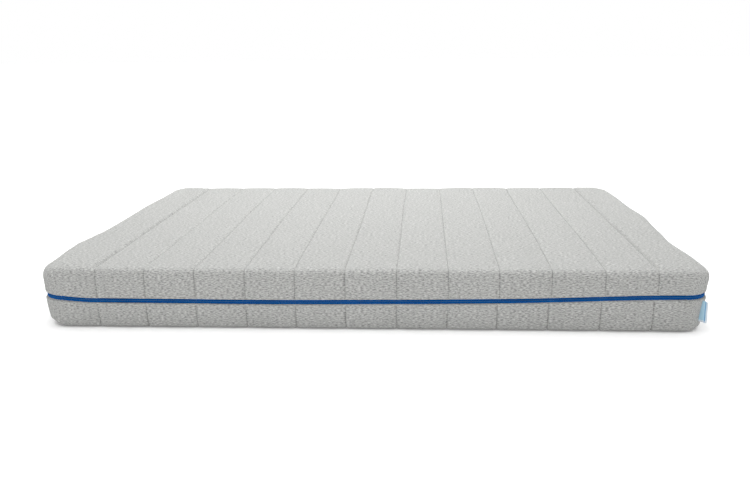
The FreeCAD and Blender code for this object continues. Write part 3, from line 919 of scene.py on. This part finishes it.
def tape_material():
    """Blue woven tape in a fine herringbone."""
    m = Material("zip_tape_weave", Roughness=0.85, Specular_IOR_Level=0.12)
    place = m.cloth()
    x, y = m.flat_parts(place)
    ribs = m.math("PINGPONG", m.math("DIVIDE", y, 1.6 * MM), 0.5)
    twill = m.plus(m.math("DIVIDE", x, 1.1 * MM), m.times(ribs, 2.0))
    weave = m.math("SINE", m.times(twill, 2 * math.pi))
    fibre = m.noise(m.vector("MULTIPLY", place, (700, 1600, 1)))
    wear = m.noise(place, scale=22.0)
    share = m.math("MULTIPLY_ADD", weave, 0.16, m.weigh(fibre, 0.5, wear, 0.4))
    m.colour(share, (0.002, 0.070, 0.28), (0.010, 0.150, 0.46))
    m.bump(m.plus(weave, fibre), 0.2 * MM, 0.8)
    return m.made


def painted_metal_material():
    """Blue enamel on a die-cast slider, rubbed on its edges and faintly pitted."""
    m = Material("blue_enamel", Roughness=0.3, Coat_Weight=0.15, Coat_Roughness=0.2, Specular_IOR_Level=0.35)
    place = m.object_place()
    edge = m.stretch(m.node("NewGeometry").outputs["Pointiness"], 0.56, 0.72)
    chips = m.stretch(m.noise(place, scale=900.0, detail=4.0), 0.50, 0.70)
    worn = m.times(edge, chips)
    tone = m.noise(place, scale=120.0, detail=3.0)
    paint = m.mix(tone, (0.004, 0.045, 0.19), (0.012, 0.095, 0.34))
    m.colour(worn, paint, (0.42, 0.43, 0.45))
    m.tree.links.new(worn, m.shader.inputs["Metallic"])
    m.rough(m.stretch(m.noise(place, scale=400.0, detail=3.0), 0.3, 0.7, 0.24, 0.42))
    m.bump(m.noise(place, scale=2200.0), 0.03 * MM)
    return m.made


def label_material():
    """Pale blue satin ribbon with a white margin along its fold, a plain darker line and a fine weave."""
    m = Material("label_ribbon", Roughness=0.5, Sheen_Weight=0.3, Specular_IOR_Level=0.4)
    place = m.cloth()
    x, z = m.flat_parts(place)
    fold = LABEL_SEWN + LABEL_REACH
    from_end = m.math("PINGPONG", x, fold)
    margin = m.stretch(from_end, fold - 5.5 * MM, fold - 5 * MM)
    line_gap = m.math("ABSOLUTE", m.math("SUBTRACT", from_end, fold - 7.5 * MM))
    line = m.stretch(line_gap, 0.7 * MM, 1.0 * MM, 1.0, 0.0)
    foot = m.stretch(m.math("SUBTRACT", z, LABEL_LOW), 5 * MM, 6 * MM, 1.0, 0.0)
    white = m.math("MAXIMUM", margin, foot)
    weave = m.math("SINE", m.times(z, 2 * math.pi / (0.5 * MM)))
    fibre = m.noise(m.vector("MULTIPLY", place, (2500, 900, 1)))
    blue = m.mix(fibre, (0.30, 0.50, 0.64), (0.40, 0.60, 0.72))
    ground = m.mix(white, blue, (0.60, 0.66, 0.72))
    m.colour(line, ground, (0.07, 0.22, 0.48))
    m.bump(m.plus(weave, fibre), 0.06 * MM)
    return m.made


def foam_material(name, dark, light, cell):
    """Open-cell foam: small pits of two sizes, with painted shade in the pits, and slow changes of tone."""
    m = Material(name, Roughness=0.95, Specular_IOR_Level=0.15, Sheen_Weight=0.1)
    place = m.object_place()
    pits = m.node("TexVoronoi", {"Vector": place, "Scale": 1 / cell}).outputs["Distance"]
    pores = m.node("TexVoronoi", {"Vector": place, "Scale": 0.35 / cell}).outputs["Distance"]
    tone = m.noise(place, scale=6.0, detail=4.0)
    # painted shade: the colour is darker in the pits, where the relief is lowest
    m.colour(m.weigh(m.stretch(pits, 0.0, 0.6), 0.4, tone, 0.6), dark, light)
    m.bump(m.plus(pits, m.times(pores, 0.6)), cell * 0.5, 0.8)
    return m.made


# ---------------- the pieces
KNIT, LINING, THREAD, TAPE = knit_material(), lining_material(), thread_material(), tape_material()
PADDING = mottled_material("polyester_padding", dict(scale=140.0, detail=5.0, rough=0.7, distortion=2.0),
                           (0.44, 0.44, 0.43), (0.57, 0.57, 0.56), 2.0 * MM, Roughness=0.95, Sheen_Weight=0.3)
TEETH = mottled_material("zip_teeth_nylon", dict(scale=60.0, detail=3.0), (0.002, 0.075, 0.30),
                         (0.009, 0.150, 0.48), 0.08 * MM, 1500.0, Roughness=0.5, Specular_IOR_Level=0.2)
GLUE = mottled_material("glue_film", dict(scale=90.0, detail=4.0, distortion=3.0), (0.36, 0.33, 0.22),
                        (0.47, 0.43, 0.32), 0.4 * MM, Roughness=0.45, Specular_IOR_Level=0.5)
PLASTIC = mottled_material("zip_end_plastic", dict(scale=200.0, detail=3.0), (0.006, 0.060, 0.25),
                           (0.014, 0.105, 0.37), 0.05 * MM, 1800.0, (0.34, 0.5), Specular_IOR_Level=0.3)
ENAMEL = painted_metal_material()


def cover_half(name, upper, settled):
    """Every soft piece of one half of the cover, riding on that half's body."""
    body, away = name + "_cover", 1.0 if upper else -1.0
    fabric = Skin(upper, FINE, settled=settled)
    cover = fabric.sheet_object(name + "_knit_cover", FABRIC_THICK)
    finish_piece(cover, KNIT, "cover_fabric", body, name + "_cover_fabric")

    outer = Skin(upper, COARSE, depth=PADDING_OUTER, groove=SEAM_DEPTH - 1.2 * MM,
                 rim_inset=TAPE_INSET - 0.4 * MM, settled=settled)
    inner = Skin(upper, COARSE, depth=PADDING_INNER, groove=-LINING_LIFT, crown=0.0,
                 rim_inset=TAPE_INSET - 0.2 * MM)
    padding = filled_object(name + "_padding", outer, inner)
    finish_piece(padding, PADDING, "wadding", body, name + "_cover_wadding")

    lining_skin = Skin(upper, COARSE, depth=BACKING_INSET, groove=-LINING_LIFT * 0.6, crown=0.0,
                       rim_inset=BACKING_INSET + 0.1 * MM)
    lining = lining_skin.sheet_object(name + "_lining", BACKING_THICK)
    finish_piece(lining, LINING, "backing", body, name + "_cover_backing")

    needle = [fabric.seam_line(number) for number in range(SEAM_COUNT)]
    bobbin = []
    for number in range(SEAM_COUNT):
        points, normals = lining_skin.seam_line(number)
        bobbin.append((points - normals * (BACKING_THICK + 0.1 * MM), normals))
    path = outline_path(TAPE_END_X - 5 * MM, TAPE_END_X + 1 * MM, 20 * MM, INSIDE_INSET)
    line = band_points(path, INSIDE_INSET, away * abs(ZIP_SEAM_UP))
    outward = np.stack([path[:, 2], path[:, 3], np.zeros(len(path))], axis=1)
    for kind, lines, length, pitch, radius, seed, nodes in (
            ("quilting", needle, STITCH_LENGTH, STITCH_PITCH, 0.8 * MM, 1, ["quilting_threads"]),
            ("bobbin", bobbin, STITCH_LENGTH, STITCH_PITCH, 0.4 * MM, 2, []),
            ("corner", fabric.corner_lines(), 3.2 * MM, 4.2 * MM, 0.45 * MM, 3, ["corner_seams"]),
            ("zip", [(line, outward)], 3.4 * MM, 4.4 * MM, 0.4 * MM, 4, ["zip_seam_thread"])):
        stitches = beads(name + "_" + kind + "_stitches", lines, length, pitch, radius, seed)
        finish_piece(stitches, THREAD, "thread", body, *[name + "_" + node for node in nodes])

    tape = tape_band(name + "_tape", away)
    finish_piece(tape, TAPE, "zip_tape", body, name + "_zip_tape")
    teeth = coil_teeth(name + "_coil_teeth", away)
    finish_piece(teeth, TEETH, "zip_teeth", body, name + "_zip_coil")


def foam_core():
    """The three foams and the glue between them."""
    cut_edge, face_edge, floor_edge = 1.2 * MM, 26 * MM, 13 * MM
    for layer, top_round, bottom_round, seed, dark, light, cell, fill in (
            ("memory", face_edge, cut_edge, 21, (0.42, 0.375, 0.245), (0.55, 0.505, 0.37), 0.8 * MM, 0.8),
            ("transition", cut_edge, cut_edge, 22, (0.17, 0.29, 0.42), (0.27, 0.41, 0.54), 1.1 * MM, 0.9),
            ("support", cut_edge, floor_edge, 23, (0.37, 0.37, 0.36), (0.50, 0.50, 0.49), 1.4 * MM, 1.0)):
        node = layer + "_foam"
        foam = layer_block(layer + "_layer", node, top_round, bottom_round, 0.5 * MM, seed)
        if layer == "support":
            cut_slits(foam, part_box(node)[0].z)
        finish_piece(foam, foam_material(node + "_cells", dark, light, cell), node, "foam_core", node)
    for name, seed in (("upper_glue", 24), ("lower_glue", 25)):
        film = layer_block(name + "_layer", name + "_film", 0.1 * MM, 0.1 * MM, 3.0 * MM, seed)
        finish_piece(film, GLUE, "glue", "foam_core", name + "_film")


def side_label():
    label, flat = label_ribbon()
    finish_piece(label, label_material(), "label", "lower_cover", "side_label")


def hard_parts():
    """The zip's end pieces, slider and pull keep their CAD shape and get their real material."""
    metal_nodes = ("upper_zip_stop", "lower_zip_stop", "zip_slider_body", "zip_pull_tab")
    for material, nodes in ((ENAMEL, metal_nodes), (PLASTIC, ("zip_pin", "zip_box"))):
        for node in nodes:
            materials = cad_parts[node].data.materials
            materials.clear()
            materials.append(material)


# ---------------- stage, light and camera
def make_stage():
    corners = [(x * 40.0, y * 40.0, -0.5 * MM) for x, y in ((-1, -1), (1, -1), (1, 1), (-1, 1))]
    floor = new_object("studio_floor", corners, [(0, 1, 2, 3)])
    m = Material("studio_white", Roughness=0.9, Specular_IOR_Level=0.0)
    patch = m.noise(m.object_place(), scale=0.6)
    m.colour(patch, (0.90, 0.90, 0.90), (0.92, 0.92, 0.92))
    m.shader.inputs["Emission Color"].default_value = (1.0, 1.0, 1.0, 1.0)
    m.shader.inputs["Emission Strength"].default_value = 0.13
    floor.data.materials.append(m.made)


def make_light():
    """A pale room, darker at both ends and white to the eye, with a wide ceiling light and two soft boxes."""
    scene = bpy.context.scene
    scene.world = bpy.data.worlds.new("studio")
    w = Nodes(scene.world)
    along_x = w.flat_parts(w.node("TexCoord").outputs["Generated"])[0]
    room = w.mix(w.times(along_x, along_x), (0.64, 0.64, 0.64), (0.32, 0.32, 0.32))
    seen = w.mix(w.node("LightPath").outputs["Is Camera Ray"], room, (1.0, 1.0, 1.0))
    w.tree.links.new(seen, w.tree.nodes["Background"].inputs["Color"])
    ceiling = put(bpy.data.lights.new("ceiling", "SUN"), energy=1.9, angle=math.radians(80))
    scene.collection.objects.link(bpy.data.objects.new("ceiling", ceiling))
    softbox("top_softbox", (-0.10, 0.90, 2.5), (-0.10, 0.90, 0.0), 2.0, 54.0)
    softbox("front_softbox", (-0.1, -2.5, 1.75), (-0.1, -0.7, 0.1), 1.2, 2.8, 95)


def softbox(name, place, aim, size, power, spread=180):
    light = put(bpy.data.lights.new(name, "AREA"), size=size, energy=power, spread=math.radians(spread))
    turn = (Vector(aim) - Vector(place)).to_track_quat("-Z", "Y").to_euler()
    lamp = put(bpy.data.objects.new(name, light), location=place, rotation_euler=turn, visible_camera=False)
    bpy.context.scene.collection.objects.link(lamp)


def make_camera():
    """The eye stands right of the middle, looks left of straight ahead and down, and leans a little."""
    place = Vector((0.167, -2.967, 0.831))
    down, left, lean = math.radians(14.33), math.radians(3.56), math.radians(-0.68)
    turn = Matrix.Rotation(left, 4, "Z") @ Matrix.Rotation(math.pi / 2 - down, 4, "X")
    data = put(bpy.data.cameras.new("camera"), sensor_width=36.0, lens=38.64)
    camera = bpy.data.objects.new("camera", data)
    camera.matrix_world = Matrix.Translation(place) @ turn @ Matrix.Rotation(lean, 4, "Z")
    bpy.context.scene.collection.objects.link(camera)
    bpy.context.scene.camera = camera


make_camera()
make_light()
make_stage()
cover_half("upper", True, settle_cloth(True))
cover_half("lower", False, None)
foam_core()
side_label()
hard_parts()
bpy.context.scene.view_settings.view_transform = "Standard"
